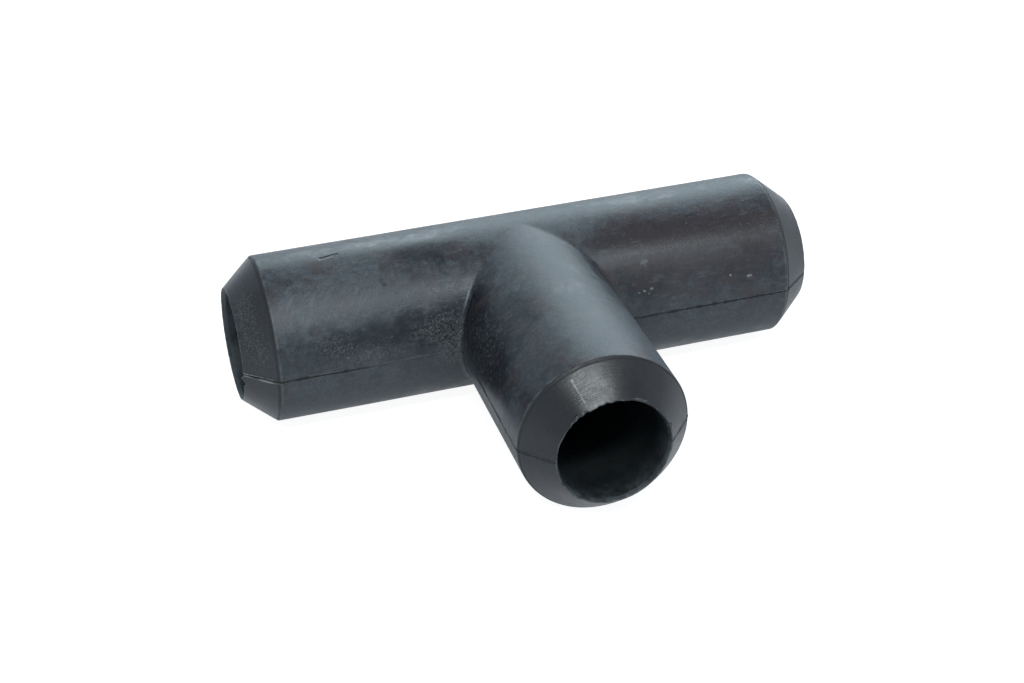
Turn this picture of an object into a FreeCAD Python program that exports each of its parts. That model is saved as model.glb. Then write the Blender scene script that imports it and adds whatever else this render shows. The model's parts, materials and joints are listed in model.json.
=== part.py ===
# A black rubber tee connector for plain pipe, moulded in one piece.
# Three equal legs meet at right angles: a straight run along X and a branch along -Y.
# One plain bore runs through each leg, a little smaller than the pipe that it grips.
# Each leg ends in a cone outside and a short bevel inside, which leave a thin edge round the mouth.
# The mould opened along Z, so a thin line of flash runs round the tee at Z = 0.
# The origin is where the two axes cross. All sizes are in millimetres.

import FreeCAD
import Part
import os

Vector = FreeCAD.Vector

# Driving sizes
pipe_diameter = 20.0  # outside of the plain pipe that pushes into each mouth
pipe_squeeze = 0.5  # how much smaller than the pipe the bore is, on the diameter
wall = 5.5  # rubber between the bore and the outside of a leg
run_leg_length = 54.0  # from the origin to each mouth of the run
branch_leg_length = 54.0  # from the origin to the mouth of the branch
cone_length = 5.8  # axial length of the cone on the end of a leg
bevel_width = 0.4  # how much the bevel widens the bore at its mouth, on the radius
bevel_length = 0.8  # axial length of the bevel inside a mouth
edge_width = 0.15  # width of the flat ring left between the cone and the bevel
shoulder_round = 0.5  # radius where a leg turns into its cone
saddle_round = 1.0  # radius of the tight blend where the branch leaves the run
crown_step = 0.1  # how far the branch's crown lies under the run's crown
flash_height = 0.25  # how far the flash stands out of the rubber
flash_thickness = 0.4  # thickness of the flash along Z

# Sizes that follow from them
bore_radius = (pipe_diameter - pipe_squeeze) / 2
bevel_radius = bore_radius + bevel_width
tip_radius = bevel_radius + edge_width
run_radius = bore_radius + wall
branch_radius = run_radius - crown_step
overcut = 1.0  # how far a cutting tool runs past the face it opens

RUN_AXIS = Vector(1, 0, 0)
RUN_BACK = Vector(0, 1, 0)
BRANCH_AXIS = Vector(0, -1, 0)
BRANCH_SIDE = Vector(1, 0, 0)


def turned(profile, axis, side):
    """Revolves a closed profile, given as (along, radius) pairs, round an axis through the origin.

    The profile starts on the given side of the axis, which puts the seam of each turned face there.
    """
    points = [axis * along + side * radius for along, radius in profile]
    outline = Part.makePolygon(points + points[:1])
    return Part.Face(outline).revolve(Vector(0, 0, 0), axis, 360)


def run_outside():
    """The run's outside, from mouth to mouth."""
    shoulder = run_leg_length - cone_length
    return turned(
        [
            (-run_leg_length, 0),
            (-run_leg_length, tip_radius),
            (-shoulder, run_radius),
            (shoulder, run_radius),
            (run_leg_length, tip_radius),
            (run_leg_length, 0),
        ],
        RUN_AXIS,
        RUN_BACK,
    )


def branch_outside():
    """The branch's outside, from the run's axis to its mouth."""
    return turned(
        [
            (0, 0),
            (0, branch_radius),
            (branch_leg_length - cone_length, branch_radius),
            (branch_leg_length, tip_radius),
            (branch_leg_length, 0),
        ],
        BRANCH_AXIS,
        BRANCH_SIDE,
    )


def is_saddle(edge):
    """The curve where the branch leaves the run is the only one that isn't straight or round."""
    return not isinstance(edge.Curve, (Part.Line, Part.LineSegment, Part.Circle))


def is_shoulder(edge):
    """The circles where the straight legs turn into their cones."""
    if not isinstance(edge.Curve, Part.Circle):
        return False
    return any(abs(edge.Curve.Radius - radius) < 1e-6 for radius in (run_radius, branch_radius))


def tee_outside():
    """The whole outside of the tee, with the saddle and the shoulders blended."""
    solid = run_outside().fuse(branch_outside()).removeSplitter()
    solid = solid.makeFillet(saddle_round, [edge for edge in solid.Edges if is_saddle(edge)])
    return solid.makeFillet(shoulder_round, [edge for edge in solid.Edges if is_shoulder(edge)])


def is_crotch(edge):
    """The two upright edges of the flash in the inner corners between the branch and the run."""
    x, y, _ = edge.CenterOfMass
    return abs(abs(x) - branch_radius - flash_height) < 1e-6 and abs(y + run_radius + flash_height) < 1e-6


def flash_plate():
    """The flash: a thin plate where the mould halves met, a little wider than the tee all along."""
    run_side = run_radius + flash_height
    branch_side = branch_radius + flash_height
    tip_side = tip_radius + flash_height
    run_shoulder = run_leg_length - cone_length
    branch_shoulder = branch_leg_length - cone_length
    right_half = [
        (run_shoulder, run_side),
        (run_leg_length, tip_side),
        (run_leg_length, -tip_side),
        (run_shoulder, -run_side),
        (branch_side, -run_side),
        (branch_side, -branch_shoulder),
        (tip_side, -branch_leg_length),
    ]
    left_half = [(-x, y) for x, y in reversed(right_half)]
    corners = [Vector(x, y, -flash_thickness / 2) for x, y in right_half + left_half]
    plate = Part.Face(Part.makePolygon(corners + corners[:1])).extrude(Vector(0, 0, flash_thickness))
    return plate.makeFillet(saddle_round - flash_height, [edge for edge in plate.Edges if is_crotch(edge)])


def leg_cavity(axis, side, leg_length):
    """The cavity of one leg: the plain bore from the origin outwards, opened by the bevel at its mouth."""
    profile = [
        (0, 0),
        (0, bore_radius),
        (leg_length - bevel_length, bore_radius),
        (leg_length, bevel_radius),
        (leg_length + overcut, bevel_radius),
        (leg_length + overcut, 0),
    ]
    return turned(profile, axis, side)


def tee_body():
    """The finished moulding."""
    right = leg_cavity(RUN_AXIS, RUN_BACK, run_leg_length)
    left = leg_cavity(-RUN_AXIS, RUN_BACK, run_leg_length)
    branch = leg_cavity(BRANCH_AXIS, BRANCH_SIDE, branch_leg_length)
    outside = tee_outside().fuse(flash_plate())
    return outside.cut(right).cut(left).cut(branch)


os.makedirs("parts", exist_ok=True)
body = tee_body()
body.exportStep("parts/tee_body.step")
print("tee_body: solids", len(body.Solids), "valid", body.isValid(), "volume", round(body.Volume, 1))
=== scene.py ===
"""The looks of a black rubber tee connector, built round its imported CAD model.

One closed mesh stands for the moulding. It is made of three legs of quads that meet along mitres, both
outside and in the bore. Sizes inside the classes are in millimetres, in the CAD frame: the run lies along X,
the branch points along -Y, and the mould opened along Z.
"""

import json
import logging
import math
from collections.abc import Callable
from dataclasses import dataclass, field
from enum import Enum

import bmesh
import bpy
import numpy as np
from mathutils import Matrix, Vector, noise


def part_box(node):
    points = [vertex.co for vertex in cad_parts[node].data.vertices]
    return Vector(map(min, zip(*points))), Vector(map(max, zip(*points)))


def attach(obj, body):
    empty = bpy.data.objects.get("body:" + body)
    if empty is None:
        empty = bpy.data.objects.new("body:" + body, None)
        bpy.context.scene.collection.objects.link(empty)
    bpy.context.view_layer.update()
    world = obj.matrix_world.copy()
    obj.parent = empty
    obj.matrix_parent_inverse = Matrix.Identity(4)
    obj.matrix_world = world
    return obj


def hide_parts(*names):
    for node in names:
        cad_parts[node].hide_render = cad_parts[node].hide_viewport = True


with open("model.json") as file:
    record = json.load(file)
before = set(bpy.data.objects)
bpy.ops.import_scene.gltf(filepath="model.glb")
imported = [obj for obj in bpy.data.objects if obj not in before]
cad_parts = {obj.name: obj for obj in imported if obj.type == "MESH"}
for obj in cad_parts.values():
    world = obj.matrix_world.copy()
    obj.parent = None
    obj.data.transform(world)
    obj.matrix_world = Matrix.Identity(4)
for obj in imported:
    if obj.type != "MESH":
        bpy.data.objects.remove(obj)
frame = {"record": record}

LOG = logging.getLogger("rubber_tee")
MM = 0.001
NODE = "tee_body"
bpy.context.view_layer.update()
Color = tuple[float, float, float]
Point = tuple[float, float]
Reach = Callable[[float], float]
Socket = bpy.types.NodeSocket
Tree = bpy.types.NodeTree


class Leg(Enum):
    """The three legs of the tee, each with the direction that its mouth faces."""

    RIGHT = (1.0, 0.0)
    LEFT = (-1.0, 0.0)
    BRANCH = (0.0, -1.0)

    def place(self, along: np.ndarray, angle: np.ndarray, radius: np.ndarray) -> np.ndarray:
        """Turns a leg's own coordinates into the part's.

        Args:
            along: distance from the origin towards the mouth.
            angle: angle from the top, round the axis; positive is towards -Y on the run, +X on the branch.
            radius: distance from the leg's axis.

        Returns:
            An array with x, y and z in its last place.
        """
        side = radius * np.sin(angle)
        up = radius * np.cos(angle)
        if self is Leg.BRANCH:
            return np.stack([side, -along, up], axis=-1)
        return np.stack([along * self.value[0], -side, up], axis=-1)

    def spot(self, along: float, degrees: float, radius: float) -> Vector:
        """One place on a leg, as a vector in millimetres."""
        angle = np.array(math.radians(degrees))
        return Vector(self.place(np.array(along), angle, np.array(radius)))


class Skin(Enum):
    """The kinds of surface on the moulding, in the order of the mesh's material slots."""

    MOULDED = 0
    CONE = 1
    BORE = 2


class Tone(Enum):
    """What a stroke leaves on the rubber."""

    PALE = "pale"
    DARK = "dark"


class Effect(Enum):
    """What a patch does to the skin. Each is kept on the mesh under its own name."""

    # Bloom on the skin. Where patches lay it thicker or take it away, it also stands for painted highlight,
    # painted reflection and painted shade.
    BLOOM = "bloom"
    BROWN = "brown"
    # Scuffs on the skin, and also a painted reflection of the floor along the branch's underside.
    SCUFFED = "scuffed"
    PITTED = "pitted"


@dataclass(frozen=True)
class Patch:
    """A soft patch of an effect on one leg.

    Args:
        effect: what it does.
        leg: the leg that it lies on.
        along: its distance from the origin.
        degrees: its angle from the top of the leg.
        size: its reach along the leg and round it.
        amount: its strength; below 0 it takes the effect away.
    """

    effect: Effect
    leg: Leg
    along: float
    degrees: float
    size: tuple[float, float]
    amount: float

    def weigh(self, points: np.ndarray, reach: Reach) -> np.ndarray:
        """How much of the patch each point gets, where reach gives the surface's distance from the axis."""
        centre = np.array(self.leg.spot(self.along, self.degrees, reach(self.along)))
        axis = np.array(self.leg.spot(1.0, 0.0, 0.0))
        off = points - centre
        lengthwise = off @ axis
        crosswise = np.sqrt(np.maximum((off**2).sum(axis=1) - lengthwise**2, 0.0))
        away = (lengthwise / self.size[0]) ** 2 + (crosswise / self.size[1]) ** 2
        return self.amount * np.exp(-away)


@dataclass(frozen=True)
class Stroke:
    """A thin scratch, or a speck if both ends lie close together.

    Args:
        leg: the leg that it lies on.
        start: one end, as distance from the origin and angle from the top in degrees.
        end: the other end.
        width: half its width.
        tone: pale or dark.
        strength: how strongly it shows, up to 1.
    """

    leg: Leg
    start: Point
    end: Point
    width: float
    tone: Tone
    strength: float = 1.0


@dataclass(frozen=True)
class Nick:
    """A torn place in the thin edge of a mouth.

    Args:
        degrees: where it lies, from the top.
        width: half its width, in degrees.
        depth: how far the edge is torn back.
    """

    degrees: float
    width: float
    depth: float


@dataclass(frozen=True)
class Mouth:
    """How one end of the tee departs from a true and clean one.

    Args:
        sag: how far the lowest part of the rim hangs below a circle.
        droop: how far the highest part of the rim hangs below it.
        ragged: how uneven the edge is.
        flash: how much higher the flash stands on the cone than on the leg.
        twin: how much of a second ridge runs beside the flash on the cone.
        stained: how far from the mouth the parting line is dark.
        nicks: the torn places in its edge.
    """

    sag: float = 0.0
    droop: float = 0.0
    ragged: float = 0.05
    flash: float = 1.0
    twin: float = 0.0
    stained: float = 60.0
    nicks: tuple[Nick, ...] = ()


@dataclass(frozen=True)
class Section:
    """Rows of points along a leg.

    Args:
        along: distance of each row from the origin.
        radius: distance of each row from the axis.
        skin: the kind of surface from each row to the next.
    """

    along: np.ndarray
    radius: np.ndarray
    skin: np.ndarray

    @classmethod
    def joined(cls, stretches: list[tuple[Skin, list[Point]]]) -> "Section":
        """Joins stretches of points, and keeps one of two points where stretches meet."""
        points: list[Point] = []
        skins: list[int] = []
        for skin, stretch in stretches:
            for point in stretch:
                if points and math.dist(point, points[-1]) < 1e-6:
                    skins[-1] = skin.value
                else:
                    points.append(point)
                    skins.append(skin.value)
        return cls(np.array([p[0] for p in points]), np.array([p[1] for p in points]), np.array(skins))


@dataclass(frozen=True)
class LegGrid:
    """The vertices of one leg, as rows by columns.

    Args:
        points: their places.
        skin: the kind of surface from each row to the next.
        fields: numbers kept at each vertex, by name.
    """

    points: np.ndarray
    skin: np.ndarray
    fields: dict[str, np.ndarray]


def rounded(before: Point, corner: Point, after: Point, reach: float, steps: int) -> list[Point]:
    """Replaces a corner of a section by a soft curve.

    Args:
        before: the point that the section comes from.
        corner: the sharp corner.
        after: the point that the section goes to.
        reach: how far before and after the corner the curve starts and ends.
        steps: how many stretches the curve has.

    Returns:
        The points of the curve, both ends included.
    """
    here, back, ahead = (np.array(point) for point in (corner, before, after))
    start = here + (back - here) / np.linalg.norm(back - here) * reach
    end = here + (ahead - here) / np.linalg.norm(ahead - here) * reach
    share = np.linspace(0.0, 1.0, steps + 1)[:, None]
    curve = (1 - share) ** 2 * start + 2 * share * (1 - share) * here + share**2 * end
    return [(float(a), float(r)) for a, r in curve]


def straight(start: Point, end: Point, steps: int) -> list[Point]:
    """Points at even steps on a straight stretch of a section, both ends included."""
    share = np.linspace(0.0, 1.0, steps + 1)
    return [(start[0] + (end[0] - start[0]) * s, start[1] + (end[1] - start[1]) * s) for s in share]


def graded(count: int, first: float, last: float) -> np.ndarray:
    """Shares from 0 to 1 in uneven steps.

    Args:
        count: how many steps there are.
        first: size of the first step, where 1 is added in the middle of the stretch.
        last: size of the last step.

    Returns:
        The shares, 0 and 1 included.
    """
    place = np.linspace(0.0, 1.0, count)
    step = first + (last - first) * place + np.sin(place * math.pi)
    return np.concatenate([[0.0], np.cumsum(step)]) / step.sum()


def soft_noise(points: np.ndarray, size: float, seed: float) -> np.ndarray:
    """Smooth noise between -1 and 1 at each point.

    Args:
        points: places in millimetres, with x, y and z in the last place.
        size: the size of the noise's features, in millimetres.
        seed: shifts the noise, so that two of them differ.

    Returns:
        One value for each point.
    """
    flat = points.reshape(-1, 3) / size + seed
    values = [noise.noise(Vector(point)) for point in flat]
    return np.array(values).reshape(points.shape[:-1])


PATCHES: dict[tuple[Effect, Leg], tuple] = {
    (Effect.BLOOM, Leg.BRANCH): (
        # The first three rows take bloom away on the branch's left flank beside the saddle: painted shade.
        (25.0, -66.0, (9.0, 6.0), -1.4),
        (32.0, -74.0, (6.0, 5.0), -1.2),
        (18.0, -52.0, (6.0, 4.0), -0.7),
        # These two rows lay extra bloom on the branch's top and right flank: partly bloom, partly a painted
        # highlight of the back lamp's sheen.
        (41.0, 12.0, (13.0, 10.0), 1.5),
        (38.0, 50.0, (15.0, 6.0), 1.2),
        (52.0, -40.0, (4.0, 6.0), -1.2),
        (53.0, 20.0, (4.0, 6.0), -0.8),
        (17.0, -22.0, (7.0, 5.0), 0.7),
        (12.0, 6.0, (7.0, 8.0), 0.7),
        # Painted reflection of the floor: a pale strip along the branch's underside.
        (33.0, -112.0, (17.0, 4.0), 1.5),
        (52.0, -75.0, (4.0, 7.0), -0.9),
    ),
    (Effect.BLOOM, Leg.RIGHT): (
        (4.0, 12.0, (9.0, 5.0), 1.2),
        # Partly bloom, partly a painted reflection of the floor on the run's lower front.
        (34.0, 106.0, (20.0, 6.0), 0.8),
        # Painted highlight: the front lamp's band along the run's front.
        (29.0, 53.0, (9.0, 2.2), 0.9),
        # These two rows take bloom away along the dark band above the front highlight: partly bare brown
        # rubber, partly painted shade.
        (38.0, 36.0, (9.0, 3.5), -0.9),
        (24.0, 36.0, (7.0, 4.0), -1.0),
        (20.0, 69.0, (4.0, 2.0), -1.0),
        (38.5, 71.0, (4.0, 2.0), -1.2),
        (34.0, 5.0, (14.0, 6.0), 0.6),
    ),
    (Effect.BLOOM, Leg.LEFT): (
        (5.0, 6.0, (9.0, 5.0), 0.9),
        # Partly bloom, partly a painted reflection of the floor on the run's lower front.
        (34.0, 106.0, (22.0, 6.0), 1.0),
        (17.0, 12.0, (8.0, 3.0), -0.8),
        (32.0, 27.0, (11.0, 4.0), 1.1),
        (24.0, 70.0, (8.0, 2.6), -1.2),
        (36.0, 72.0, (6.0, 2.6), -1.0),
        (43.0, 46.0, (7.0, 5.0), 0.9),
        (33.0, 47.0, (9.0, 4.0), 0.6),
        (19.0, 45.0, (6.0, 4.0), 0.5),
        (52.0, 52.0, (2.5, 3.0), -0.9),
    ),
    (Effect.BROWN, Leg.RIGHT): (
        (24.0, 40.0, (12.0, 7.0), 1.5),
        (38.0, 44.0, (12.0, 6.0), 1.3),
        (32.0, 60.0, (16.0, 5.0), 0.8),
    ),
    (Effect.BROWN, Leg.LEFT): (
        (20.0, 28.0, (9.0, 4.0), 0.7),
        (50.0, 36.0, (4.0, 5.0), 0.8),
    ),
    (Effect.BROWN, Leg.BRANCH): (
        (51.0, 25.0, (5.0, 12.0), 1.4),
        (51.0, -50.0, (5.0, 8.0), 0.8),
    ),
    (Effect.SCUFFED, Leg.LEFT): (
        (42.0, 44.0, (9.0, 5.0), 0.6),
        (24.0, 42.0, (9.0, 4.0), 0.6),
    ),
    (Effect.SCUFFED, Leg.BRANCH): (
        (22.0, -22.0, (9.0, 6.0), 0.3),
        # Painted reflection of the floor: pale scuffing along the branch's underside.
        (33.0, -108.0, (18.0, 4.0), 1.5),
    ),
    (Effect.PITTED, Leg.LEFT): (
        (19.0, 72.0, (3.6, 2.2), 1.2),
        (17.0, 88.0, (2.2, 4.0), 1.2),
        (38.0, 72.0, (3.0, 2.0), 0.8),
        (32.0, 82.0, (6.0, 2.0), 0.7),
        (52.3, 40.0, (2.2, 6.0), 0.95),
        (50.5, 72.0, (2.0, 3.0), 0.5),
    ),
    (Effect.PITTED, Leg.BRANCH): (
        (24.0, -62.0, (8.0, 5.0), 0.42),
    ),
}


@dataclass
class TeeMoulding:
    """The whole moulding: its sizes, its mesh and its finish.

    Args:
        leg_length: from the origin to each mouth.
        outer_radius: outside of a leg.
        bore_radius: the plain bore.
        name: the name of the piece.
        cone_length: how far a cone reaches from its mouth.
        edge_radius: outside of a cone at the mouth.
        bevel_length: how far the bevel reaches into the mouth.
        shoulder_reach: how far the rounding of a shoulder reaches to each side.
        edge_reach: the same at the mouth's edge.
        groove_inset: how far past the shoulder the trimming groove lies.
        groove_width: half its width.
        trim_depth: its depth.
        saddle_round: radius of the blend between run and branch at the flanks.
        crown_round: the same on top and below.
        flash_height: height of the flash.
        flash_width: half its width.
        wave_height: height of the slight waves of the skin.
        twin_gap: how far the second ridge lies beside the flash.
        seam_wander: how far the parting line strays.
        stain_fade: the length over which the dark of the parting line fades out.
        torn_reach: how far from the edge a tear moves the surface.
        patch_limit: the most that overlapping patches add up to.
        weld_distance: how near two vertices have to lie to become one.
        blend_step: the small step that the blend's slope is measured over.
        blend_passes: how often a vertex is moved on to the blend.
        columns: stretches in a quarter of the way round a leg.
        fine_columns: how many of them narrow towards the flash.
        fine_share: width of the narrowest, where 1 is the plain width.
        barrel_rows: rows outside, before the shoulder.
        cone_rows: rows on a cone.
        bore_rows: rows in the bore.
        mouths: how each end departs from a clean one.
        patches: where effects lie on the skin; some of them are painted highlight, painted reflection and
            painted shade.
    """

    leg_length: float
    outer_radius: float
    bore_radius: float
    name: str = "tee_rubber"
    cone_length: float = 5.8
    edge_radius: float = 10.22
    bevel_length: float = 0.85
    shoulder_reach: float = 0.3
    edge_reach: float = 0.22
    groove_inset: float = 0.3
    groove_width: float = 0.16
    trim_depth: float = 0.09
    saddle_round: float = 1.0
    crown_round: float = 4.0
    flash_height: float = 0.12
    flash_width: float = 0.13
    wave_height: float = 0.03
    twin_gap: float = 0.75
    seam_wander: float = 0.12
    stain_fade: float = 9.0
    torn_reach: float = 0.45
    patch_limit: float = 1.5
    weld_distance: float = 0.004
    blend_step: float = 1e-4
    blend_passes: int = 8
    columns: int = 60
    fine_columns: int = 14
    fine_share: float = 0.2
    barrel_rows: int = 70
    cone_rows: int = 18
    bore_rows: int = 24
    mouths: dict[Leg, Mouth] = field(
        default_factory=lambda: {
            Leg.RIGHT: Mouth(sag=0.1, flash=1.4),
            Leg.LEFT: Mouth(
                sag=0.15,
                flash=2.2,
                twin=1.0,
                stained=27.0,
                nicks=(Nick(97.0, 2.0, -0.35), Nick(104.0, 2.5, 0.3)),
            ),
            Leg.BRANCH: Mouth(
                sag=0.15,
                droop=0.35,
                ragged=0.11,
                flash=1.3,
                nicks=(
                    Nick(-46.0, 3.0, 0.2),
                    Nick(-38.0, 1.6, 0.5),
                    Nick(-30.0, 1.5, 0.25),
                    Nick(-8.0, 1.5, 0.2),
                    Nick(17.0, 1.6, 0.45),
                    Nick(25.0, 7.5, 0.35),
                    Nick(33.0, 1.4, 0.3),
                    Nick(55.0, 2.0, 0.2),
                    Nick(72.0, 1.5, 0.4),
                ),
            ),
        }
    )
    patches: tuple[Patch, ...] = tuple(
        Patch(*key, *row) for key, group in PATCHES.items() for row in group
    )

    def angles(self) -> np.ndarray:
        """The angle of each column, from the top.

        The columns lie closer together near the parting plane, where the flash is.

        Returns:
            Angles from just over -pi up to pi.
        """
        widths = np.ones(self.columns)
        widths[-self.fine_columns :] = np.geomspace(1.0, self.fine_share, self.fine_columns)
        quarter = np.concatenate([[0.0], np.cumsum(widths)]) / widths.sum() * math.pi / 2
        half = np.concatenate([quarter, math.pi - quarter[-2::-1]])
        return np.concatenate([-half[-2:0:-1], half])

    def end_section(self) -> Section:
        """The section of a leg's end, from the shoulder down the cone, round the edge and down the bevel."""
        before = (self.leg_length - self.cone_length - 5.0, self.outer_radius)
        shoulder = (self.leg_length - self.cone_length, self.outer_radius)
        edge = (self.leg_length, self.edge_radius)
        throat = (self.leg_length - self.bevel_length, self.bore_radius)
        inside = (self.leg_length - self.bevel_length - 5.0, self.bore_radius)
        turn = rounded(before, shoulder, edge, self.shoulder_reach, 6)
        nose = rounded(shoulder, edge, throat, self.edge_reach, 8)
        last = rounded(edge, throat, inside, self.edge_reach / 2, 3)
        cone = straight(turn[-1], nose[0], self.cone_rows)
        return Section.joined(
            [
                (Skin.MOULDED, turn[:4]),
                (Skin.CONE, turn[3:]),
                (Skin.CONE, straight(cone[0], cone[2], 6)),
                (Skin.CONE, cone[2:]),
                (Skin.CONE, nose[:5]),
                (Skin.BORE, nose[4:]),
                (Skin.BORE, straight(nose[-1], last[0], 4)),
                (Skin.BORE, last),
            ]
        )

    def leg_grid(self, leg: Leg) -> LegGrid:
        """Places the vertices of one leg."""
        angle = self.angles()
        end = self.end_section()
        facing = np.abs(np.sin(angle)) if leg is Leg.BRANCH else np.maximum(np.sin(angle), 0.0)
        start = self.outer_radius * facing
        barrel = start + (end.along[0] - start) * graded(self.barrel_rows, 0.2, 0.3)[:-1, None]
        finish = self.bore_radius * facing
        bore = end.along[-1] + (finish - end.along[-1]) * graded(self.bore_rows, 0.15, 1.2)[1:, None]
        along = np.vstack([barrel, np.repeat(end.along[:, None], len(angle), axis=1), bore])
        rows = [np.full(len(barrel), self.outer_radius), end.radius, np.full(len(bore), self.bore_radius)]
        radius = np.repeat(np.concatenate(rows)[:, None], len(angle), axis=1)
        skin = np.concatenate(
            [np.full(len(barrel), Skin.MOULDED.value), end.skin, np.full(len(bore), Skin.BORE.value)]
        )
        from_mouth = self.leg_length - along
        outward = np.broadcast_to((skin != Skin.BORE.value).astype(float)[:, None], along.shape)
        mouth = self.mouths[leg]
        on_cone = np.clip(self.cone_length + 1.0 - from_mouth, 0.0, 1.0)
        fields = {
            "from_mouth": from_mouth,
            "outward": outward,
            "flash": (1.0 + (mouth.flash - 1.0) * on_cone) * np.clip(from_mouth / 0.8, 0.15, 1.0),
            "twin": mouth.twin * np.clip((self.cone_length + 0.5 - from_mouth) / 2.0, 0.0, 1.0),
            "stain": np.clip((mouth.stained - from_mouth) / self.stain_fade, 0.0, 1.0),
        }
        groove = np.exp(-(((from_mouth - self.cone_length + self.groove_inset) / self.groove_width) ** 2))
        radius = radius - outward * self.trim_depth * groove
        along, radius = self.worn_mouth(leg, along, radius, angle)
        points = leg.place(along, np.broadcast_to(angle, along.shape), radius)
        return LegGrid(points, skin, fields)

    def worn_mouth(
        self, leg: Leg, along: np.ndarray, radius: np.ndarray, angle: np.ndarray
    ) -> tuple[np.ndarray, np.ndarray]:
        """Gives a mouth its torn edge and its sag.

        Args:
            leg: which leg.
            along: distance of each vertex from the origin.
            radius: distance of each vertex from the axis.
            angle: the angle of each column.

        Returns:
            The new distances along the leg and from its axis.
        """
        mouth = self.mouths[leg]
        degrees = np.degrees(angle)
        slope = (self.outer_radius - self.edge_radius) / self.cone_length
        off_edge = np.hypot(along - self.leg_length, radius - self.edge_radius)
        at_edge = np.exp(-((off_edge / self.torn_reach) ** 2))
        rim = leg.place(np.full_like(angle, self.leg_length), angle, np.full_like(angle, self.edge_radius))
        torn = mouth.ragged * (soft_noise(rim, 1.1, 7.3) + 0.8 * soft_noise(rim, 0.4, 2.9))
        for nick in mouth.nicks:
            inside = 1.0 - np.abs(degrees - nick.degrees) / nick.width
            torn += nick.depth * np.clip(inside * 3.0, 0.0, 1.0)
        near = np.clip(1.0 - (self.leg_length - along) / (self.cone_length * 2.5), 0.0, 1.0) ** 2
        low = np.clip(-np.cos(angle), 0.0, 1.0) ** 2
        high = np.clip(np.cos(angle), 0.0, 1.0) ** 2
        hanging = near * (mouth.sag * low - mouth.droop * high)
        moved = np.minimum(radius + at_edge * torn * slope + hanging, np.maximum(radius, self.outer_radius))
        return along - at_edge * torn, moved

    def saddle_gap(self, points: np.ndarray) -> np.ndarray:
        """How far points lie off the blended outside of the run and the branch.

        A ball of the blend's radius rolls in the corner between the two cylinders. Where a point lies in
        that corner, its distance is taken to the ball, and elsewhere to the nearer cylinder.

        Args:
            points: places with x, y and z in the last place.

        Returns:
            Signed distances, positive outside.
        """
        x, y, z = points[..., 0], points[..., 1], points[..., 2]
        near_crown = np.clip(4.0 * np.abs(z) / self.outer_radius - 3.0, 0.0, 1.0)
        ball = self.saddle_round + (self.crown_round - self.saddle_round) * near_crown
        run_reach = np.hypot(y, z)
        branch_reach = np.hypot(x, z)
        to_run = ball - (run_reach - self.outer_radius)
        to_branch = ball - (branch_reach - self.outer_radius)
        lean = z * z / np.maximum(run_reach * branch_reach, 1e-9)
        spread = np.maximum(1.0 - lean * lean, 1e-6)
        across = to_run**2 + to_branch**2 - 2 * to_run * to_branch * lean
        from_ball = np.sqrt(np.maximum(across, 0.0) / spread)
        in_corner = (to_branch > lean * to_run) & (to_run > lean * to_branch) & (y < 0)
        nearer = ball - np.maximum(to_run, to_branch)
        return np.where(in_corner, ball - from_ball, nearer)

    def blend_saddle(self, points: np.ndarray) -> np.ndarray:
        """Moves the vertices near the crease between run and branch on to the rolling ball's surface.

        Args:
            points: the vertices of the outside, as an array of x, y, z.

        Returns:
            The moved vertices.
        """
        moved = points.copy()
        run_reach = np.hypot(points[:, 1], points[:, 2]) - self.outer_radius
        branch_reach = np.hypot(points[:, 0], points[:, 2]) - self.outer_radius
        nearest = np.minimum(run_reach, branch_reach)
        furthest = np.maximum(run_reach, branch_reach)
        close = (points[:, 1] < 0) & (nearest > -0.5) & (furthest < self.crown_round)
        here = moved[close]
        for _ in range(self.blend_passes):
            gap = self.saddle_gap(here)
            ahead = [self.saddle_gap(here + way * self.blend_step) for way in np.eye(3)]
            slope = np.stack([(there - gap) / self.blend_step for there in ahead], axis=-1)
            size = np.maximum((slope**2).sum(axis=-1), 0.25)
            here = here - slope * (gap / size)[:, None] * 0.9
        moved[close] = here
        return moved

    def seam_offset(self, points: np.ndarray) -> np.ndarray:
        """How far each vertex lies above the parting line, which wanders a little along the tee."""
        along_seam = points * np.array([1.0, 1.0, 0.0])
        return points[:, 2] - self.seam_wander * soft_noise(along_seam, 9.0, 5.5)

    def flash_ridge(self, points: np.ndarray, fields: dict[str, np.ndarray]) -> np.ndarray:
        """The height of the flash at each vertex: an uneven ridge on the parting line, double in places."""
        along_seam = points * np.array([1.0, 1.0, 0.0])
        uneven = 0.6 + 0.45 * soft_noise(along_seam, 6.0, 3.1) + 0.25 * soft_noise(along_seam, 1.3, 9.7)
        off = self.seam_offset(points)
        apart = self.twin_gap * np.clip(1.2 - np.abs(fields["from_mouth"] - 3.6) / 3.0, 0.1, 1.0)
        second = np.exp(-(((off + apart) / self.flash_width) ** 2))
        ridge = np.exp(-((off / self.flash_width) ** 2)) + fields["twin"] * second
        return np.clip(uneven, 0.15, 1.2) * self.flash_height * fields["flash"] * ridge

    def patched(self, effect: Effect, points: np.ndarray) -> np.ndarray:
        """How much of an effect the placed patches give each vertex."""
        placed = [patch for patch in self.patches if patch.effect is effect]
        weights = [patch.weigh(points, self.surface_radius) for patch in placed]
        return np.clip(np.sum(weights, axis=0), -self.patch_limit, self.patch_limit)

    def surface_radius(self, along: float) -> float:
        """How far the outside of a leg lies from its axis, at a distance from the origin."""
        down_cone = max(along - self.leg_length + self.cone_length, 0.0) / self.cone_length
        return self.outer_radius + (self.edge_radius - self.outer_radius) * min(down_cone, 1.0)

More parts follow.
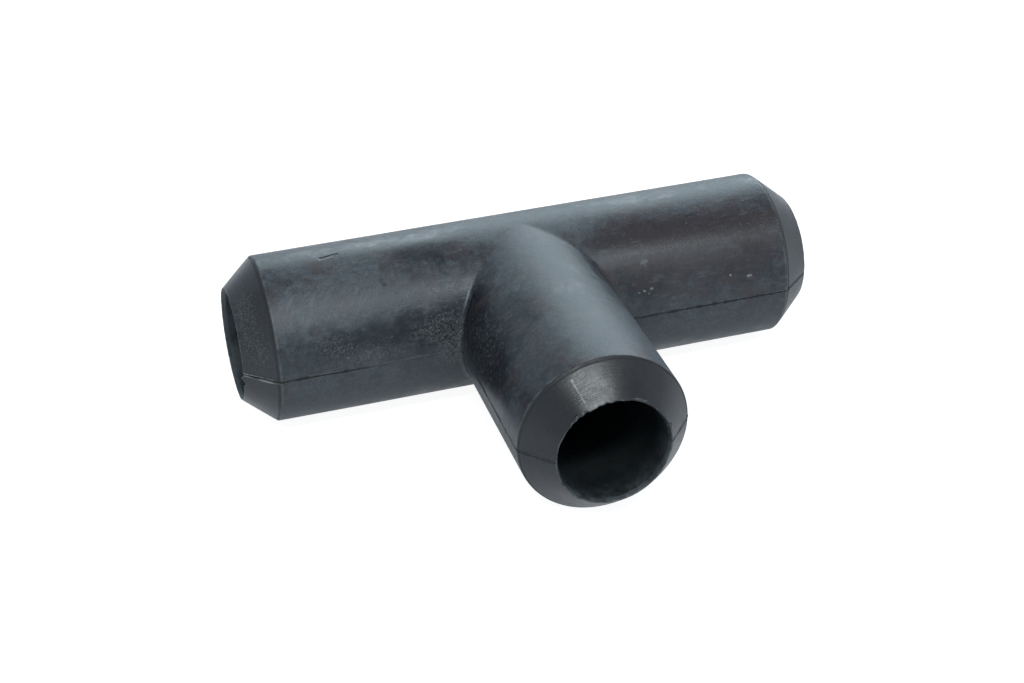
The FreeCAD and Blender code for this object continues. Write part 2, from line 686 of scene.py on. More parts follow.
    def mesh(self) -> bpy.types.Mesh:
        """Builds the closed mesh of the moulding, in metres."""
        grids = [self.leg_grid(leg) for leg in Leg]
        faces, first = [], 0
        for grid in grids:
            rows, columns = grid.points.shape[:2]
            here = first + np.arange(rows * columns).reshape(rows, columns)
            beside = np.roll(here, -1, axis=1)
            faces.append(np.stack([here[:-1], beside[:-1], beside[1:], here[1:]], axis=-1).reshape(-1, 4))
            first += rows * columns
        place = np.vstack([grid.points.reshape(-1, 3) for grid in grids])
        skin = np.concatenate([np.repeat(grid.skin, grid.points.shape[1]) for grid in grids])
        outside = skin != Skin.BORE.value
        place[outside] = self.blend_saddle(place[outside])
        quads = np.vstack(faces)
        mesh = bpy.data.meshes.new(self.name)
        mesh.from_pydata(place.tolist(), [], quads.tolist())
        mesh.polygons.foreach_set("material_index", skin[quads[:, 0]].astype(np.int32))
        for name in grids[0].fields:
            self.store(mesh, name, np.concatenate([grid.fields[name].ravel() for grid in grids]))
        self.weld(mesh)
        self.relief(mesh)
        mesh.shade_smooth()
        return mesh

    def store(self, mesh: bpy.types.Mesh, name: str, values: np.ndarray) -> None:
        """Keeps one number for each vertex, for the materials to read."""
        mesh.attributes.new(name, "FLOAT", "POINT").data.foreach_set("value", values)

    def kept(self, mesh: bpy.types.Mesh, name: str) -> np.ndarray:
        """Reads back the numbers that the mesh keeps under a name."""
        values = np.empty(len(mesh.vertices))
        mesh.attributes[name].data.foreach_get("value", values)
        return values

    def weld(self, mesh: bpy.types.Mesh) -> None:
        """Joins the legs where they meet and turns every face outwards."""
        work = bmesh.new()
        work.from_mesh(mesh)
        bmesh.ops.remove_doubles(work, verts=work.verts, dist=self.weld_distance)
        bmesh.ops.recalc_face_normals(work, faces=work.faces)
        work.to_mesh(mesh)
        work.free()

    def relief(self, mesh: bpy.types.Mesh) -> None:
        """Adds the flash and the slight waves of a soft moulding, and scales the mesh to metres."""
        count = len(mesh.vertices)
        place, normal = np.empty(count * 3), np.empty(count * 3)
        mesh.vertices.foreach_get("co", place)
        mesh.vertices.foreach_get("normal", normal)
        place, normal = place.reshape(-1, 3), normal.reshape(-1, 3)
        fields = {name: self.kept(mesh, name) for name in ("from_mouth", "outward", "flash", "twin")}
        self.store(mesh, "seam", self.seam_offset(place))
        for effect in Effect:
            self.store(mesh, effect.value, self.patched(effect, place))
        wave = soft_noise(place, 14.0, 1.7) + 0.2 * soft_noise(place, 5.0, 21.0) - 1.0
        lift = fields["outward"] * (self.wave_height * wave + self.flash_ridge(place, fields))
        mesh.vertices.foreach_set("co", ((place + normal * lift[:, None]) * MM).ravel())
        mesh.update()

    def build(self) -> None:
        """Makes the moulding, dresses it and lets it stand for its CAD node."""
        piece = bpy.data.objects.new(self.name, self.mesh())
        bpy.context.scene.collection.objects.link(piece)
        effects = RubberEffects()
        for finish in (MouldedFinish(), ConeFinish(), BoreFinish()):
            piece.data.materials.append(finish.material(effects, self.surface_radius))
        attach(piece, "root")
        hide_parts(NODE)
        made = piece.data
        LOG.info("%s: %d faces, %d materials", piece.name, len(made.polygons), len(made.materials))


def socket_name(keyword: str) -> str:
    """The name of a group's socket, from the keyword that stands for it."""
    return keyword.replace("_", " ").capitalize()


class Value:
    """A socket of a node tree that can be reckoned with like a number or a vector."""

    def __init__(self, graph: "Graph", socket: Socket) -> None:
        """Takes the socket and the graph that it belongs to."""
        self.graph = graph
        self.socket = socket

    def __add__(self, other: object) -> "Value":
        """Adds a number, or a vector to a vector."""
        return self.graph.reckon("ADD", self, other)

    __radd__ = __add__

    def __sub__(self, other: object) -> "Value":
        """Takes a number away, or a vector from a vector."""
        return self.graph.reckon("SUBTRACT", self, other)

    def __rsub__(self, other: float) -> "Value":
        """Takes this away from a number."""
        return self.graph.reckon("SUBTRACT", other, self)

    def __mul__(self, other: object) -> "Value":
        """Multiplies by a number."""
        return self.graph.reckon("SCALE" if self.is_vector else "MULTIPLY", self, other)

    def __truediv__(self, other: object) -> "Value":
        """Divides by a number."""
        return self.graph.reckon("DIVIDE", self, other)

    def __rtruediv__(self, other: float) -> "Value":
        """Divides a number by this."""
        return self.graph.reckon("DIVIDE", other, self)

    def __abs__(self) -> "Value":
        """Takes the sign away."""
        return self.graph.reckon("ABSOLUTE", self)

    @property
    def is_vector(self) -> bool:
        """Whether the socket carries a vector."""
        return self.socket.type == "VECTOR"

    def dot(self, other: "Value") -> "Value":
        """The dot product of two vectors."""
        return self.graph.reckon("DOT_PRODUCT", self, other, output=1)

    def ramp(self, low: object, high: object, first: object = 0.0, last: object = 1.0) -> "Value":
        """Maps this softly from one span to another, and holds it there."""
        spans = {"Value": self, "From Min": low, "From Max": high, "To Min": first, "To Max": last}
        return self.graph.add("ShaderNodeMapRange", spans, interpolation_type="SMOOTHSTEP")[0]


class Graph:
    """A hand for building node trees."""

    def __init__(self, tree: Tree) -> None:
        """Takes the tree that the nodes go into."""
        self.tree = tree

    def node(self, kind: str, **settings: object) -> bpy.types.Node:
        """Adds a node and sets its properties."""
        node = self.tree.nodes.new(kind)
        for name, value in settings.items():
            setattr(node, name, value)
        return node

    def feed(self, socket: Socket, value: object) -> None:
        """Links a socket to a value of the tree, or sets it to a constant."""
        if isinstance(value, Value):
            self.tree.links.new(value.socket, socket)
        else:
            socket.default_value = value

    def add(self, kind: str, inputs: dict[str | int, object], **settings: object) -> list[Value]:
        """Adds a node, feeds its inputs by name or number, and returns its outputs."""
        node = self.node(kind, **settings)
        for name, value in inputs.items():
            self.feed(node.inputs[name], value)
        return [Value(self, socket) for socket in node.outputs]

    def reckon(self, operation: str, *values: object, output: int = 0) -> Value:
        """Adds a Math node, or a Vector Math node where one of the values is a vector.

        Args:
            operation: what the node does.
            values: what it works on.
            output: which output to return; 1 is the number that a Vector Math node gives.

        Returns:
            The output.
        """
        vector = any(isinstance(value, Vector) or getattr(value, "is_vector", False) for value in values)
        kind = "ShaderNodeVectorMath" if vector else "ShaderNodeMath"
        names = (0, "Scale") if operation == "SCALE" else (0, 1)
        return self.add(kind, dict(zip(names, values)), operation=operation)[output]

    def mix(self, share: object, first: object, second: object) -> Value:
        """Mixes two colours."""
        first, second = ((*color, 1.0) if isinstance(color, tuple) else color for color in (first, second))
        return self.add("ShaderNodeMix", {0: share, 6: first, 7: second}, data_type="RGBA")[2]

    def layered(self, color: Value, *layers: tuple[object, object, Color]) -> Value:
        """Lays colours over one another, each through its mask times its strength."""
        for mask, strength, over in layers:
            color = self.mix(mask * strength, color, over)
        return color

    def noise(self, place: Value, scale: object, detail: float = 3.0, rough: float = 0.55) -> Value:
        """Adds a Noise Texture and returns its value."""
        inputs = {"Vector": place, "Scale": scale, "Detail": detail, "Roughness": rough}
        return self.add("ShaderNodeTexNoise", inputs)[0]

    def cells(self, place: Value, scale: float) -> list[Value]:
        """Adds a Voronoi Texture, whose outputs start with the distance and the colour."""
        return self.add("ShaderNodeTexVoronoi", {"Vector": place, "Scale": scale}, feature="F1")


class EffectGraph(Graph):
    """The tree of an effect that the finishes share, with its named sockets."""

    def __init__(self, name: str, vectors: tuple[str, ...], numbers: tuple[str, ...]) -> None:
        """Makes the tree and its inputs, vectors before numbers."""
        super().__init__(bpy.data.node_groups.new(name, "ShaderNodeTree"))
        for kind, titles in (("Vector", vectors), ("Float", numbers)):
            for title in titles:
                self.tree.interface.new_socket(name=title, in_out="INPUT", socket_type=f"NodeSocket{kind}")
        source = self.node("NodeGroupInput")
        self.inputs = [Value(self, source.outputs[title]) for title in (*vectors, *numbers)]

    def closed(self, **results: Value) -> Tree:
        """Gives each result an output of its name, and returns the tree."""
        for keyword in results:
            name = socket_name(keyword)
            self.tree.interface.new_socket(name=name, in_out="OUTPUT", socket_type="NodeSocketFloat")
        self.add("NodeGroupOutput", {socket_name(keyword): value for keyword, value in results.items()})
        return self.tree


class RubberEffects:
    """The node groups that the finishes share, each built once."""

    def __init__(self) -> None:
        """Builds them."""
        self.clouds = self.clouds_group()
        self.grain = self.grain_group()
        self.streaks = self.streaks_group()
        self.specks = self.specks_group()
        self.crust = self.crust_group()
        self.stroke = self.stroke_group()
        self.seam = self.seam_group()
        self.rings = self.rings_group()
        self.edge = self.edge_group()

    def clouds_group(self) -> Tree:
        """Cloudy patches at two sizes, shifted to pale or dark by a bias."""
        graph = EffectGraph("cloudy_bloom", ("Place",), ("Size", "Seed", "Bias", "Softness"))
        place, size, seed, bias, softness = graph.inputs
        moved = place * (1.0 / size) + graph.reckon("SCALE", Vector((1.0, 0.71, 0.43)), seed)
        broad = graph.noise(moved, 1.0, 4.0, 0.62)
        fine = graph.noise(moved, 5.3, 3.0, 0.6)
        value = broad * 0.66 + fine * 0.34 + bias * 0.16
        return graph.closed(mask=value.ramp(0.5 - softness, 0.5 + softness))

    def grain_group(self) -> Tree:
        """The skin's fine relief: grain, shallow orange peel and pits."""
        graph = EffectGraph("rubber_grain", ("Place",), ("Grain", "Peel", "Pits"))
        place, grain, peel, pits = graph.inputs
        relief = graph.noise(place, 4.6, 2.0, 0.6) * grain + graph.noise(place, 0.9, 2.0, 0.5) * peel
        width = graph.noise(place, 0.45, 2.0, 0.5).ramp(0.5, 0.8, 0.03, 0.3)
        pit = graph.cells(place, 1.15)[0].ramp(0.0, width, 1.0, 0.0)
        flecks = graph.noise(place, 3.4, 3.0, 0.65).ramp(0.3, 0.7)
        return graph.closed(height=relief - pit * pits, flecks=flecks, pit_mask=pit)

    def streaks_group(self) -> Tree:
        """Smeared strokes that lie along a direction, gathered in drifts."""
        graph = EffectGraph("smeared_streaks", ("Place", "Direction"), ("Fineness", "Seed", "Amount"))
        place, direction, fineness, seed, amount = graph.inputs
        squeezed = place - direction * (place.dot(direction) * 0.75)
        moved = squeezed + graph.reckon("SCALE", Vector((0.9, 1.3, 0.4)), seed)
        lines = graph.noise(moved, fineness, 3.0, 0.6).ramp(0.5, 0.68)
        drifts = graph.noise(moved, 0.35, 3.0, 0.6).ramp(0.4, 0.62)
        return graph.closed(mask=lines * drifts * amount)

    def specks_group(self) -> Tree:
        """Small pale specks, each in its own cell and in few of them."""
        graph = EffectGraph("dust_specks", ("Place",), ("Spacing", "Size", "Share"))
        place, spacing, size, share = graph.inputs
        distance, color, *_ = graph.cells(place * (1.0 / spacing), 1.0)
        dot = (distance * spacing).ramp(size * 0.5, size, 1.0, 0.0)
        chance, brightness, _ = graph.add("ShaderNodeSeparateColor", {0: color})
        return graph.closed(mask=dot * graph.reckon("LESS_THAN", chance, share) * brightness)

    def crust_group(self) -> Tree:
        """A rough patch where the rubber tore off the mould: pale crumbs and small hollows."""
        graph = EffectGraph("torn_skin", ("Place",), ("Amount",))
        place, amount = graph.inputs
        coarse = graph.noise(place, 1.7, 3.0, 0.7)
        fine = graph.noise(place, 2.9, 3.0, 0.7)
        where = (amount + (coarse - 0.5) * 2.6).ramp(0.2, 0.9)
        crumbs = fine.ramp(0.4, 0.66) * where
        hollows = coarse.ramp(0.36, 0.48, 1.0, 0.0) * where
        return graph.closed(crumbs=crumbs, hollows=hollows, height=crumbs - hollows)

    def stroke_group(self) -> Tree:
        """One scratch: how near a place lies to the line between two ends, with a ragged edge."""
        graph = EffectGraph("single_scratch", ("Place", "Start", "End"), ("Width", "Strength"))
        place, start, end, width, strength = graph.inputs
        line = end - start
        off = place - start
        reach = off.dot(line) / graph.reckon("MAXIMUM", line.dot(line), 1e-6)
        share = graph.reckon("MINIMUM", graph.reckon("MAXIMUM", reach, 0.0), 1.0)
        away = graph.reckon("LENGTH", off - line * share, output=1)
        ragged = away + graph.noise(place, 2.4, 2.0) * 0.35
        edge = width + 0.17
        return graph.closed(mask=ragged.ramp(edge - width * 0.7, edge + width, 1.0, 0.0) * strength)

    def seam_group(self) -> Tree:
        """The dark line just below the flash, broken and blotched, partly stain and partly painted shadow
        under the flash, and the pale crest on top of it, a painted highlight.
        """
        graph = EffectGraph("parting_line", ("Place",), ("Seam", "Width", "Stain"))
        place, seam, width, stain = graph.inputs
        along = graph.reckon("MULTIPLY", place, Vector((1.0, 1.0, 0.0)))
        blotched = width * graph.noise(along, 0.9, 4.0, 0.7).ramp(0.35, 0.72, 0.55, 1.7)
        line = abs(seam + 0.2).ramp(blotched * 0.45, blotched, 1.0, 0.0)
        gaps = graph.noise(along, 0.35, 3.0, 0.6)
        crest = abs(seam).ramp(0.03, 0.14, 1.0, 0.0) * gaps.ramp(0.36, 0.55)
        return graph.closed(dirt=line * gaps.ramp(0.3, 0.45, 0.6, 1.0) * stain, crest=crest)

    def rings_group(self) -> Tree:
        """The uneven rings that the trimming wheel left round a cone."""
        graph = EffectGraph("trimming_rings", ("Place",), ("Depth", "Pitch"))
        place, depth, pitch = graph.inputs
        turn = (depth + graph.noise(place, 0.22, 3.0) * 1.6) / pitch
        coarse, fine = (graph.reckon("SINE", turn * (2 * math.pi * pace)) for pace in (1.0, 2.7))
        patchy = graph.noise(place, 0.3, 2.0).ramp(0.35, 0.65, 0.2, 1.0)
        return graph.closed(height=(coarse + fine * 0.45) * patchy)

    def edge_group(self) -> Tree:
        """A broken line at a set distance from the mouth or the seam: pale for painted highlights on edges
        and ridges, partly wear at the shoulder, and dark for the shoulder groove, partly stain and partly
        painted shade.
        """
        graph = EffectGraph("edge_line", ("Place",), ("Depth", "Position", "Width", "Broken"))
        place, depth, position, width, broken = graph.inputs
        line = abs(depth - position).ramp(width * 0.3, width, 1.0, 0.0)
        return graph.closed(mask=line * graph.noise(place, 0.5, 3.0, 0.6).ramp(broken, 0.65))


class SkinGraph(Graph):
    """The tree of one finish. It hands the place on the tee to each effect."""

    def __init__(self, tree: Tree, effects: RubberEffects, reach: Reach) -> None:
        """Takes the tree, the effects, and what gives the surface's distance from a leg's axis."""
        super().__init__(tree)
        self.effects = effects
        self.reach = reach
        self.place = Value(self, self.node("ShaderNodeTexCoord").outputs["Object"]) * (1 / MM)

    def attribute(self, name: str) -> Value:
        """Reads a number that the mesh keeps at each vertex."""
        return Value(self, self.node("ShaderNodeAttribute", attribute_name=name).outputs["Fac"])

    def effect(self, tree: Tree, **values: object) -> list[Value]:
        """Places an effect, feeds its inputs by keyword, and returns its outputs."""
        inputs = {socket_name(keyword): value for keyword, value in values.items()}
        return self.add("ShaderNodeGroup", {"Place": self.place, **inputs}, node_tree=tree)

    def clouds(self, size: float, seed: float, bias: object, softness: float) -> Value:
        """Adds one layer of cloudy patches."""
        return self.effect(self.effects.clouds, size=size, seed=seed, bias=bias, softness=softness)[0]

    def streaks(self, direction: Vector, fineness: float, seed: float, amount: object) -> Value:
        """Adds one layer of smeared strokes."""
        values = {"direction": direction, "fineness": fineness, "seed": seed, "amount": amount}
        return self.effect(self.effects.streaks, **values)[0]

    def crust(self) -> list[Value]:
        """Adds the crumbs, the hollows and the relief of torn skin, where the mesh is marked as pitted."""
        return self.effect(self.effects.crust, amount=self.attribute(Effect.PITTED.value))

    def seam_line(self, width: float) -> list[Value]:
        """Adds the dark line along the parting line, partly stain and partly painted shadow under the flash,
        and the painted highlight on the crest of its flash.
        """
        line, stain = self.attribute("seam"), self.attribute("stain")
        return self.effect(self.effects.seam, seam=line, width=width, stain=stain)

    def edge_line(self, kept: str, position: float, width: float, broken: float) -> Value:
        """Adds a broken line where a number that the mesh keeps has the value of the position."""
        depth = self.attribute(kept)
        return self.effect(self.effects.edge, depth=depth, position=position, width=width, broken=broken)[0]

    def scratches(self, strokes: list[Stroke]) -> object:
        """Joins strokes in one mask, or gives 0 where there are none."""
        mask: object = 0.0
        for stroke in strokes:
            start, end = (stroke.leg.spot(*spot, self.reach(spot[0])) for spot in (stroke.start, stroke.end))
            values = {"start": start, "end": end, "width": stroke.width, "strength": stroke.strength}
            mask = self.reckon("MAXIMUM", mask, self.effect(self.effects.stroke, **values)[0])
        return mask


@dataclass(frozen=True)
class Surface:
    """What a finish works out for its shader: its colour, its roughness and its relief."""

    color: Value
    roughness: Value
    height: Value


@dataclass(frozen=True)
class RubberFinish:
    """What the three skins of the moulding have in common.

    Args:
        name: the material's name.
        bare: colour of clean rubber.
        bloom: colour of the pale bloom on it, also laid on as painted highlight and painted reflection, and
            in the bore as painted light near the mouth.
        brown: colour of the brown film of handling.
        pale: colour of scuffs, scratches and specks, also laid on as painted highlights along edges, rims
            and the flash.
        grime_and_shade: colour of dark scratches, of darkened pits and hollows, of the parting line's dark
            line, partly stain and partly painted shadow under the flash, and of the shoulder groove, partly
            stain and partly painted shade.
        glint: tint of the surface's reflections seen from straight ahead.
        relief: depth that one unit of height stands for, in millimetres.
        strokes: scratches and specks.
    """

    name: str = "rubber"
    bare: Color = (0.0065, 0.0078, 0.0105)
    bloom: Color = (0.083, 0.097, 0.108)
    brown: Color = (0.038, 0.029, 0.030)
    pale: Color = (0.21, 0.23, 0.22)
    grime_and_shade: Color = (0.006, 0.005, 0.005)
    glint: Color = (0.80, 0.93, 1.0)
    relief: float = 0.03
    strokes: tuple[Stroke, ...] = ()

    def material(self, effects: RubberEffects, reach: Reach) -> bpy.types.Material:
        """Builds the material.

        Args:
            effects: the shared node groups.
            reach: gives the surface's distance from a leg's axis, where the strokes lie.

        Returns:
            The material.
        """
        material = bpy.data.materials.new(self.name)
        material.use_nodes = True
        graph = SkinGraph(material.node_tree, effects, reach)
        shader = material.node_tree.nodes["Principled BSDF"]
        shader.inputs["Specular Tint"].default_value = (*self.glint, 1.0)
        pale, dark = (graph.scratches([s for s in self.strokes if s.tone is tone]) for tone in Tone)
        surface = self.surface(graph, pale, dark)
        bump = graph.add("ShaderNodeBump", {"Distance": self.relief * MM, "Height": surface.height})[0]
        found = {"Base Color": surface.color, "Roughness": surface.roughness, "Normal": bump}
        for name, value in found.items():
            graph.feed(shader.inputs[name], value)
        return material

    def surface(self, graph: SkinGraph, pale: object, dark: object) -> Surface:
        """Works out the finish, where pale and dark are the masks of the strokes. Each skin has its own."""
        raise NotImplementedError


@dataclass(frozen=True)
class MouldedFinish(RubberFinish):
    """The skin that came out of the mould: satin black under a cloudy grey bloom, laid thicker or thinner in
    places as painted highlight, painted reflection and painted shade.
    """

    name: str = "moulded_rubber"
    strokes: tuple[Stroke, ...] = (
        Stroke(Leg.LEFT, (36.9, 5.0), (33.8, 3.0), 0.26, Tone.DARK),
        Stroke(Leg.LEFT, (15.9, 22.0), (15.6, 29.0), 0.3, Tone.DARK, 0.6),
        Stroke(Leg.LEFT, (27.6, 32.0), (27.2, 36.0), 0.3, Tone.DARK, 0.5),
        Stroke(Leg.RIGHT, (20.6, 50.5), (20.8, 54.5), 0.16, Tone.PALE, 0.22),
        Stroke(Leg.RIGHT, (20.2, 52.2), (21.2, 51.6), 0.26, Tone.PALE, 0.3),
        Stroke(Leg.RIGHT, (19.9, 71.5), (20.0, 72.0), 0.16, Tone.PALE, 0.9),
        Stroke(Leg.RIGHT, (21.3, 71.0), (21.5, 71.0), 0.16, Tone.PALE, 0.8),
        Stroke(Leg.RIGHT, (18.9, 72.5), (19.0, 72.5), 0.12, Tone.PALE, 0.6),
        Stroke(Leg.RIGHT, (20.8, 74.0), (20.9, 74.0), 0.1, Tone.PALE, 0.6),
        Stroke(Leg.RIGHT, (36.8, 71.0), (36.9, 71.5), 0.13, Tone.PALE, 0.9),
        Stroke(Leg.RIGHT, (40.3, 74.0), (40.9, 74.0), 0.18, Tone.PALE, 0.9),
        Stroke(Leg.BRANCH, (29.0, 18.0), (28.6, 30.0), 0.09, Tone.PALE, 0.4),
        Stroke(Leg.BRANCH, (28.6, 30.0), (29.6, 34.0), 0.09, Tone.PALE, 0.4),
    )

    def surface(self, graph: SkinGraph, pale: object, dark: object) -> Surface:
        """Works out the moulded skin's colour, roughness and relief."""
        # The bloom map also carries the patches of painted highlight, painted reflection and painted shade.
        bias = graph.attribute(Effect.BLOOM.value)
        # The scuffs map also carries a painted reflection of the floor along the branch's underside.
        scuffed = graph.attribute(Effect.SCUFFED.value)
        relief, flecks, pits = graph.effect(graph.effects.grain, grain=0.5, peel=0.6, pits=1.2)
        broad = graph.clouds(15.0, 3.0, bias, 0.15)
        blotches = graph.clouds(4.6, 12.0, bias * 0.8, 0.11)
        fine = graph.clouds(1.5, 8.0, bias * 0.5, 0.15)
        film = (broad * 0.55 + blotches * 0.45) * (fine * 0.55 + 0.45) * (flecks * 0.5 + 0.5)
        brown = graph.clouds(6.0, 17.0, graph.attribute(Effect.BROWN.value) - 0.5, 0.09)
        lengthwise = graph.streaks(Vector((1.0, 0.0, 0.0)), 1.3, 2.0, 0.85)
        slanting = graph.streaks(Vector((0.5, 0.6, 0.62)), 1.2, 6.0, scuffed + 0.12)
        crumbs, hollows, crust = graph.crust()
        specks = graph.effect(graph.effects.specks, spacing=3.2, size=0.13, share=0.25)[0]
        # The parting line's dark line is partly stain and partly painted shadow under the flash; the pale
        # crest on the flash is a painted highlight.
        dirt, crest = graph.seam_line(0.32)
        color = graph.layered(
            graph.mix(film, self.bare, self.bloom),
            (brown, 0.85, self.brown),
            (lengthwise, 0.5, self.bloom),
            (slanting, 0.35, self.pale),
            (pits, 0.6, self.grime_and_shade),
            (crumbs, 0.4, self.pale),
            (hollows, 0.9, self.grime_and_shade),
            # Pale line past the shoulder: partly wear, partly a painted highlight on the shoulder's edge.
            (graph.edge_line("from_mouth", 6.0, 0.3, 0.35), 0.22, self.pale),
            (dirt, 0.95, self.grime_and_shade),
            (crest, 0.3, self.pale),
            (dark, 1.0, self.grime_and_shade),
            (graph.reckon("MAXIMUM", pale, specks * 0.7), 1.0, self.pale),
        )
        shine = film.ramp(0.0, 0.6, 0.34, 0.52) - brown * 0.06
        roughness = shine + slanting * 0.06 + dirt * 0.35 + crust * 0.1
        height = relief + crust * 2.2 + slanting * 0.4 - dark * 3.5 - dirt * 1.5
        return Surface(color, roughness, height)


@dataclass(frozen=True)
class ConeFinish(RubberFinish):
    """The trimmed cone: smoother and browner, with the rings of the trimming wheel."""

    name: str = "trimmed_rubber"
    bare: Color = (0.0085, 0.0090, 0.0110)
    brown: Color = (0.019, 0.0155, 0.0165)
    pale: Color = (0.42, 0.46, 0.44)
    glint: Color = (0.88, 0.97, 1.0)
    strokes: tuple[Stroke, ...] = (
        Stroke(Leg.BRANCH, (49.6, -25.5), (52.8, -26.0), 0.17, Tone.PALE, 0.55),
        Stroke(Leg.BRANCH, (50.0, 12.0), (50.7, 12.5), 0.2, Tone.DARK, 0.7),
    )

    def surface(self, graph: SkinGraph, pale: object, dark: object) -> Surface:
        """Works out the cone's colour, roughness and relief."""
        relief, flecks, _ = graph.effect(graph.effects.grain, grain=0.4, peel=0.3, pits=0.8)
        bloom = graph.clouds(5.0, 5.0, graph.attribute(Effect.BLOOM.value), 0.25)
        brown = graph.clouds(7.0, 23.0, graph.attribute(Effect.BROWN.value), 0.16)
        twin = graph.attribute("twin")
        rings = graph.effect(graph.effects.rings, depth=graph.attribute("from_mouth"), pitch=0.52)[0]
        crumbs, hollows, crust = graph.crust()
        # The parting line's dark line is partly stain and partly painted shadow under the flash; the pale
        # crest on the flash is a painted highlight.
        dirt, crest = graph.seam_line(0.36)
        # Dark line in the trimming groove at the shoulder: partly stain, partly painted shade.
        groove = graph.edge_line("from_mouth", 5.5, 0.3, 0.1)
        color = graph.layered(
            graph.mix(bloom * (flecks * 0.7 + 0.3) * 0.42, self.bare, self.bloom),
            (brown, 0.75, self.brown),
            (crumbs, 0.12, self.pale),
            (hollows, 0.8, self.grime_and_shade),
            (groove, 0.7, self.grime_and_shade),
            (dirt, 0.9, self.grime_and_shade),
            # Painted highlights on the crest of the flash and on the second ridge beside it.
            (crest, twin * 0.55 + 0.06, self.pale),
            (graph.edge_line("seam", -0.62, 0.2, 0.2), twin * 0.45, self.pale),
            # Painted highlight on the rounded edge of the mouth.
            (graph.edge_line("from_mouth", 0.0, 0.25, 0.4), 0.15, self.pale),
            (dark, 1.0, self.grime_and_shade),
            (pale, 1.0, self.pale),
        )
        roughness = bloom.ramp(0.0, 1.0, 0.29, 0.4) + dirt * 0.4 + groove * 0.2
        return Surface(color, roughness, relief + rings * 0.2 + crust * 0.6 - dirt * 2.0)


@dataclass(frozen=True)
class BoreFinish(RubberFinish):
    """The bore's wall: matt and dark. Its pale dust is laid on strongly near the mouth as painted light that
    falls in there, and fades to painted shade deeper in.
    """

    name: str = "bore_rubber"
    bare: Color = (0.0060, 0.0088, 0.0095)
    bloom: Color = (0.085, 0.097, 0.106)

    def surface(self, graph: SkinGraph, pale: object, dark: object) -> Surface:
        """Works out the bore's colour, roughness and relief."""
        dust = graph.clouds(5.0, 31.0, -0.3, 0.3)
        relief = graph.effect(graph.effects.grain, grain=0.6, peel=0.6, pits=0.6)[0]
        specks = graph.effect(graph.effects.specks, spacing=2.2, size=0.12, share=0.3)[0]
        # Painted light: strong near the mouth, fading to painted shade deeper in the bore.
        near = graph.attribute("from_mouth").ramp(0.3, 6.0, 0.9, 0.08)
        color = graph.layered(
            graph.mix(dust * near, self.bare, self.bloom),
            (specks, 0.5, self.pale),
            # Painted highlight on the bevel at the mouth's edge.
            (graph.edge_line("from_mouth", 0.0, 0.4, 0.35), 0.5, self.pale),
        )
        return Surface(color, dust.ramp(0.0, 1.0, 0.45, 0.6), relief)


@dataclass(frozen=True)
class PhotoCamera:
    """The camera of the photograph, found from the outline of the tee in it.

    Args:
        azimuth: how far the camera stands round the tee from the branch's side, in radians.
        elevation: how far it stands above the horizon, in radians.
        roll: its tilt about its own axis, in radians.
        target: the point that it looks past.
        distance: how far it stands from that point.
        aside: how far it is moved to its own right and up.
        lens: focal length for a sensor 36 mm wide.
    """

    azimuth: float = -0.2914
    elevation: float = 0.5614
    roll: float = -0.0220
    target: tuple[float, float, float] = (0.0, -15.25, 0.0)
    distance: float = 362.43
    aside: tuple[float, float] = (-5.481, -1.305)
    lens: float = 70.37

    def build(self) -> None:
        """Makes the camera and makes it the scene's own."""
        flat = math.cos(self.elevation)
        round_x, round_y = math.sin(self.azimuth), math.cos(self.azimuth)
        back = Vector((round_x * flat, -round_y * flat, math.sin(self.elevation)))
        level = Vector((math.cos(self.azimuth), math.sin(self.azimuth), 0.0))
        upright = back.cross(level)
        right = level * math.cos(self.roll) + upright * math.sin(self.roll)
        above = upright * math.cos(self.roll) - level * math.sin(self.roll)
        spot = Vector(self.target) + back * self.distance + right * self.aside[0] + above * self.aside[1]
        data = bpy.data.cameras.new("photo_camera")
        data.lens = self.lens
        data.sensor_width = 36.0
        data.clip_start = 0.01
        data.clip_end = 20.0
        camera = bpy.data.objects.new("photo_camera", data)
        turn = Matrix((right, above, back)).transposed().to_4x4()
        camera.matrix_world = Matrix.Translation(spot * MM) @ turn
        bpy.context.scene.collection.objects.link(camera)
        bpy.context.scene.camera = camera


@dataclass(frozen=True)
class Softbox:
    """One soft lamp of the studio.

    Args:
        name: the lamp's name.
        toward: direction from the tee to the lamp.
        distance: how far away it stands, in metres.
        size: its width and height, in metres.
        power: its power in watts.
        tilt: how far it is turned about its own axis, in degrees.
        color: the colour of its light.
    """

    name: str
    toward: tuple[float, float, float]
    distance: float
    size: tuple[float, float]
    power: float
    tilt: float = 0.0
    color: Color = (1.0, 1.0, 1.0)

    def build(self) -> None:
        """Makes the lamp, turned to the tee."""
        lamp = bpy.data.lights.new(self.name, "AREA")
        lamp.shape = "RECTANGLE"
        lamp.size, lamp.size_y = self.size
        lamp.energy = self.power
        lamp.color = self.color
        light = bpy.data.objects.new(self.name, lamp)
        way = Vector(self.toward).normalized()
        turn = way.to_track_quat("Z", "Y").to_matrix().to_4x4()
        roll = Matrix.Rotation(math.radians(self.tilt), 4, "Z")
        light.matrix_world = Matrix.Translation(way * self.distance) @ turn @ roll
        bpy.context.scene.collection.objects.link(light)


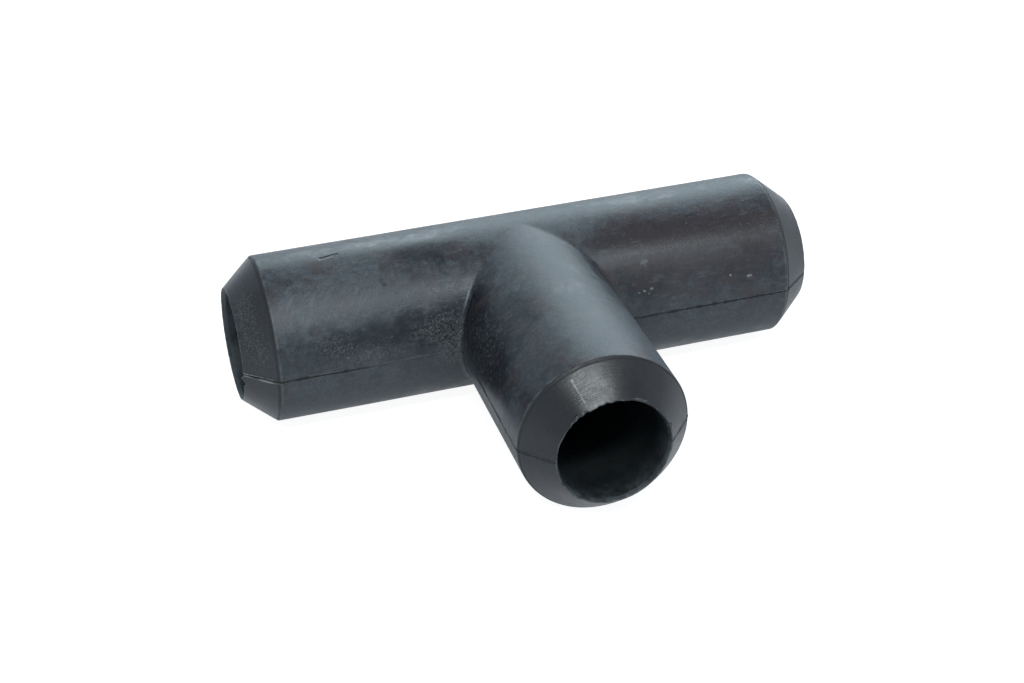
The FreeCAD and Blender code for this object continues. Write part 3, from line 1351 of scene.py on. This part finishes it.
@dataclass(frozen=True)
class Studio:
    """The white floor, the pale room and the soft lamps.

    Args:
        floor_height: where the floor lies, in metres.
        floor_size: its length and width, in metres.
        floor_shade: its own grey.
        floor_glow: how bright the camera sees it; 1 is white.
        floor_gleam: what reflections see of it.
        room: colour of the room near the horizon.
        room_strength: how strongly the room lights the tee.
        ceiling: how bright it is overhead beside the horizon.
        lamps: the soft lamps.
    """

    floor_height: float
    floor_size: float = 6.0
    floor_shade: float = 0.36
    floor_glow: float = 0.92
    floor_gleam: Color = (0.53, 0.57, 0.62)
    room: Color = (0.76, 0.88, 1.0)
    room_strength: float = 0.72
    ceiling: float = 0.6
    lamps: tuple[Softbox, ...] = (
        Softbox("front_softbox", (-0.05, -0.58, 0.81), 0.9, (0.6, 0.14), 4.8, 14.0, (1.0, 0.98, 0.96)),
        Softbox("back_softbox", (0.42, 0.82, 0.45), 1.0, (0.74, 0.42), 5.2, 0.0, (0.82, 0.94, 1.0)),
    )

    def build(self) -> None:
        """Makes the floor, the world and the lamps."""
        bpy.ops.mesh.primitive_plane_add(size=self.floor_size, location=(0.0, 0.0, self.floor_height))
        floor = bpy.context.object
        floor.name = "studio_floor"
        floor.data.materials.append(self.floor_material())
        self.build_world()
        for lamp in self.lamps:
            lamp.build()
        LOG.info("studio: %d lamps", len(self.lamps))

    def floor_material(self) -> bpy.types.Material:
        """A white floor that still takes the tee's shadow."""
        material = bpy.data.materials.new("studio_white")
        material.use_nodes = True
        graph = Graph(material.node_tree)
        shader = material.node_tree.nodes["Principled BSDF"]
        shade = self.floor_shade
        shader.inputs["Base Color"].default_value = (shade, shade, shade, 1.0)
        shader.inputs["Roughness"].default_value = 0.9
        shader.inputs["Specular IOR Level"].default_value = 0.1
        path = graph.node("ShaderNodeLightPath").outputs
        rays = ("Is Camera Ray", "Is Glossy Ray", "Is Transmission Ray")
        camera, glossy, through = (Value(graph, path[name]) for name in rays)
        seen = graph.reckon("MAXIMUM", graph.reckon("MAXIMUM", camera, glossy), through)
        glow = (self.floor_glow, self.floor_glow, self.floor_glow)
        graph.feed(shader.inputs["Emission Color"], graph.mix(glossy, glow, self.floor_gleam))
        graph.feed(shader.inputs["Emission Strength"], seen)
        return material

    def build_world(self) -> None:
        """A pale room that is white at the horizon and darkens overhead."""
        world = bpy.data.worlds.new("studio_room")
        world.use_nodes = True
        bpy.context.scene.world = world
        graph = Graph(world.node_tree)
        background = world.node_tree.nodes["Background"]
        direction = Value(graph, graph.node("ShaderNodeTexCoord").outputs["Generated"])
        upward = graph.add("ShaderNodeSeparateXYZ", {0: direction})[2]
        ceiling = tuple(self.ceiling * value for value in self.room)
        color = graph.mix(upward.ramp(0.25, 0.8), self.room, ceiling)
        graph.feed(background.inputs["Color"], color)
        background.inputs["Strength"].default_value = self.room_strength


def main() -> None:
    """Builds the tee, the studio and the camera."""
    logging.basicConfig(level=logging.INFO, format="%(name)s: %(message)s")
    low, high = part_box(NODE)
    bore = next(mount for mount in frame["record"]["mounts"] if mount["name"] == "run_through")
    TeeMoulding(
        leg_length=high.x / MM,
        outer_radius=high.z / MM,
        bore_radius=bore["dims"]["r_mm"],
    ).build()
    Studio(floor_height=low.z).build()
    PhotoCamera().build()
    bpy.context.scene.view_settings.view_transform = "Standard"


if __name__ == "__main__":
    main()
